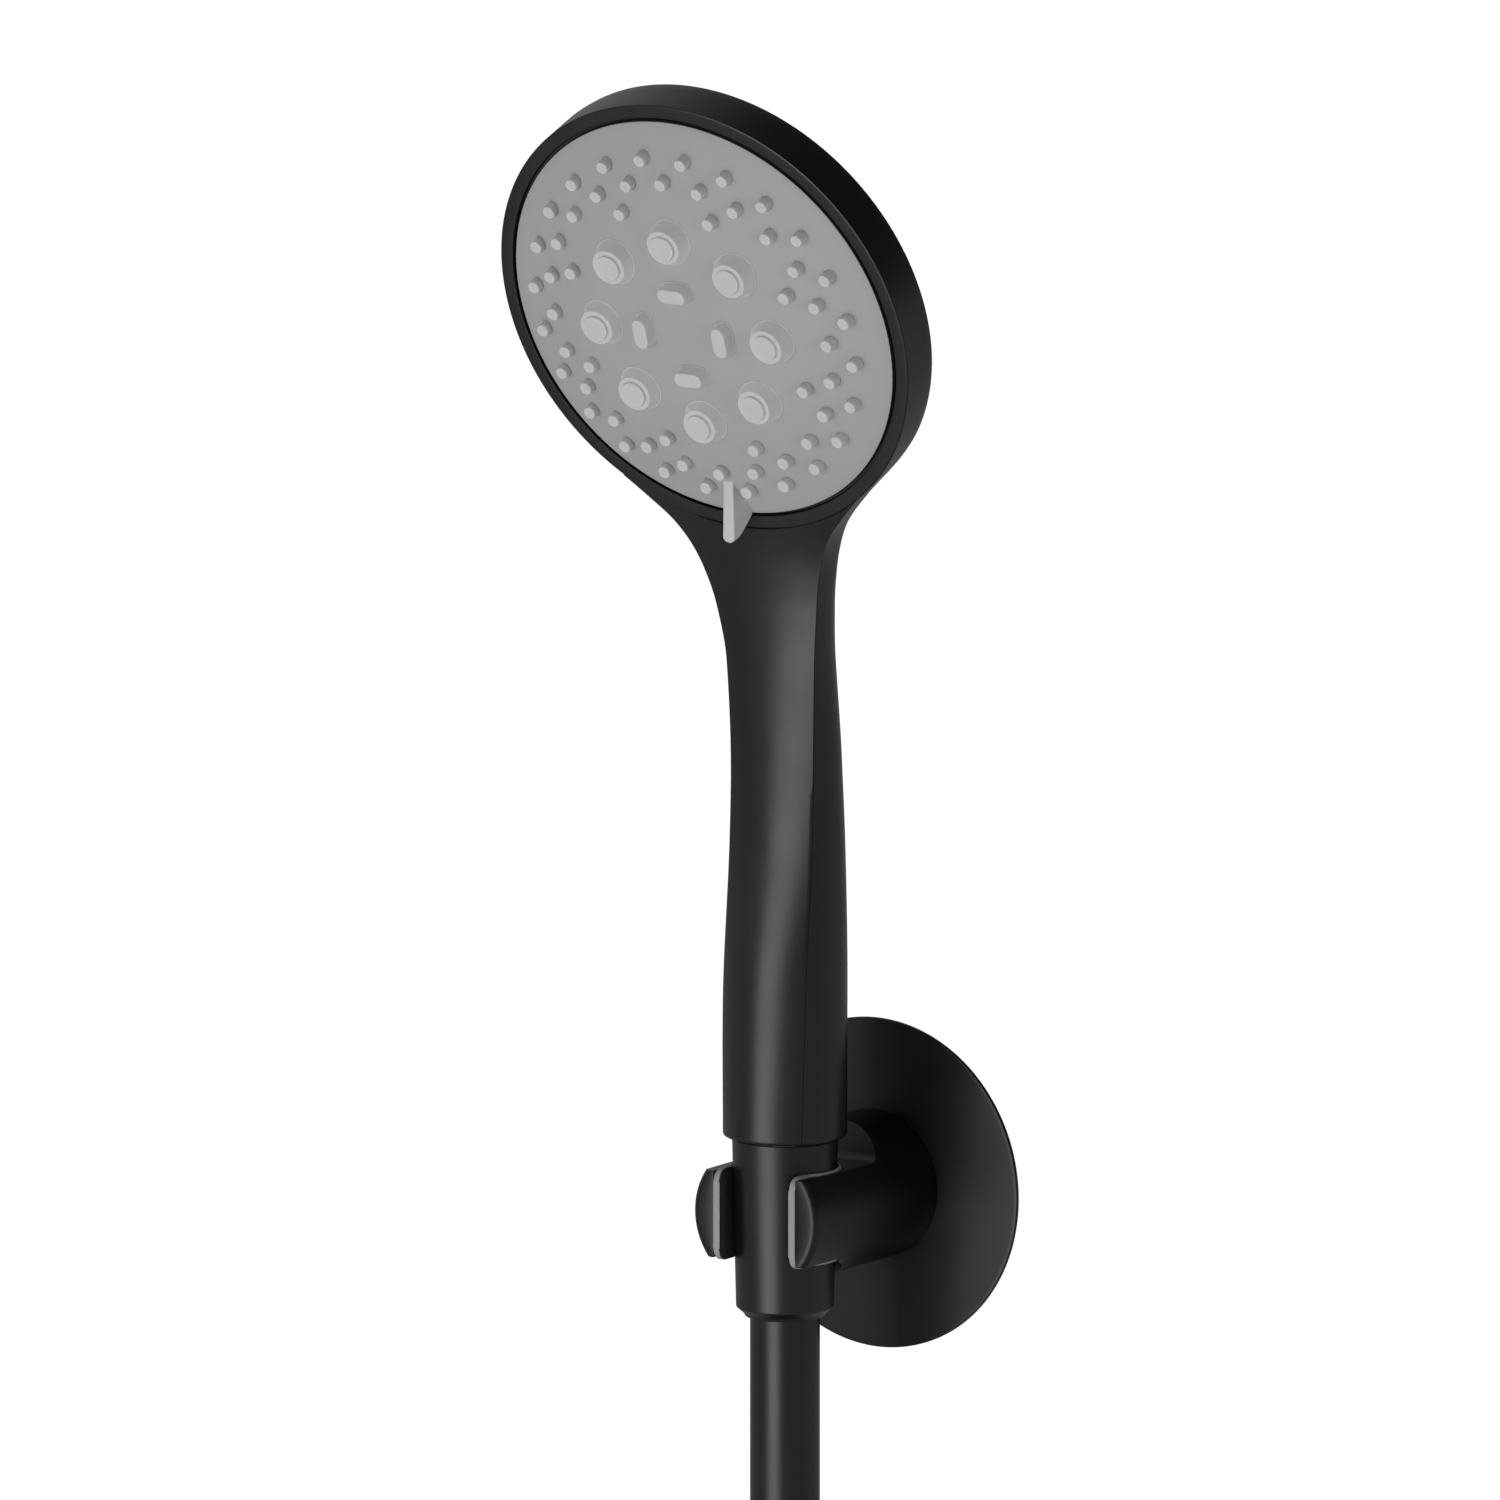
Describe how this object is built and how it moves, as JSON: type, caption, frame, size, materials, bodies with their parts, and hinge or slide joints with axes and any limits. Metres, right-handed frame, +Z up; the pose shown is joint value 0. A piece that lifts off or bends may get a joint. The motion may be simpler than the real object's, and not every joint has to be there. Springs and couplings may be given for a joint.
{
  "type": "handheld shower head",
  "caption": "Handheld shower head with a round spray face and mode lever, standing in a round wall holder, with its hose tied in a coil.",
  "frame": {"origin": "centre of the wall flange's back face, on the wall", "axes": "+Y into the wall, -Y out of the wall towards the user, +Z up, +X to the right seen from the room"},
  "size_m": [0.1999, 0.0913, 0.639],
  "materials": {
    "black_abs": "satin moulded",
    "black_pvc": "smooth satin",
    "black_coated": "satin coated",
    "grey_face": "matte moulded",
    "pale_silicone": "matte",
    "grey_liner": "matte",
    "natural_acetal": "satin moulded",
    "black_rubber": "matte",
    "brass": "turned",
    "stainless": "bright"
  },
  "bodies": {
    "bracket": {"wall_flange": "black_abs", "wall_post": "stainless", "wall_screw_upper": "stainless", "wall_screw_lower": "stainless", "holder_arm": "black_abs", "arm_grub_screw": "stainless", "grip_liner": "grey_liner"},
    "hose": {"hose": "black_pvc", "hose_coil": "black_pvc", "coil_tie": "black_rubber", "hose_end": "black_pvc", "hose_insert": "brass", "hose_ferrule": "stainless", "hose_washer": "black_rubber", "end_insert": "brass"},
    "handset": {"rear_shell": "black_abs", "front_cover": "black_abs", "bezel_ring": "black_abs", "cone_nut": "black_abs", "inlet_spigot": "natural_acetal", "flow_limiter": "black_rubber", "inlet_o_ring": "black_rubber", "water_tube": "natural_acetal", "valve_body": "natural_acetal", "hub_o_ring": "black_rubber", "port_seal": "black_rubber", "port_spring": "stainless", "detent_spring": "stainless"},
    "detent": {"detent_ball": "stainless"},
    "selector": {"spray_face": "grey_face", "nozzle_mat": "pale_silicone", "distributor_disc": "natural_acetal", "hub_screw": "stainless", "selector_tab": "pale_silicone", "turbine_axle": "stainless"},
    "turbine": {"turbine": "natural_acetal"},
    "end_nut": {"end_nut": "black_coated", "end_washer": "black_rubber"}
  },
  "joints": [
    {"name": "lift_out", "type": "slide", "parent": "bracket", "child": "hose", "axis": [0, 0, 1], "range_m": [0, 0.045]},
    {"name": "handset_swivel", "type": "hinge", "parent": "hose", "child": "handset", "pos_m": [0, -0.03904, 0], "axis": [0, 0, 1], "range_deg": [-60, 60]},
    {"name": "selector_turn", "type": "hinge", "parent": "handset", "child": "selector", "pos_m": [0, -0.0725, 0.21185], "axis": [0, -0.9454, -0.3259], "range_deg": [-38, 38]},
    {"name": "turbine_spin", "type": "hinge", "parent": "selector", "child": "turbine", "pos_m": [0, -0.0725, 0.21185], "axis": [0, -0.9454, -0.3259], "continuous": true},
    {"name": "detent_travel", "type": "slide", "parent": "handset", "child": "detent", "axis": [0, 0.9454, 0.3259], "range_m": [0, 0.0006], "stiffness_N_per_m": 400, "springref_m": -0.001},
    {"name": "end_nut_spin", "type": "hinge", "parent": "hose", "child": "end_nut", "pos_m": [-0.08729, -0.02371, -0.3489], "axis": [0, 0, 1], "continuous": true}
  ]
}
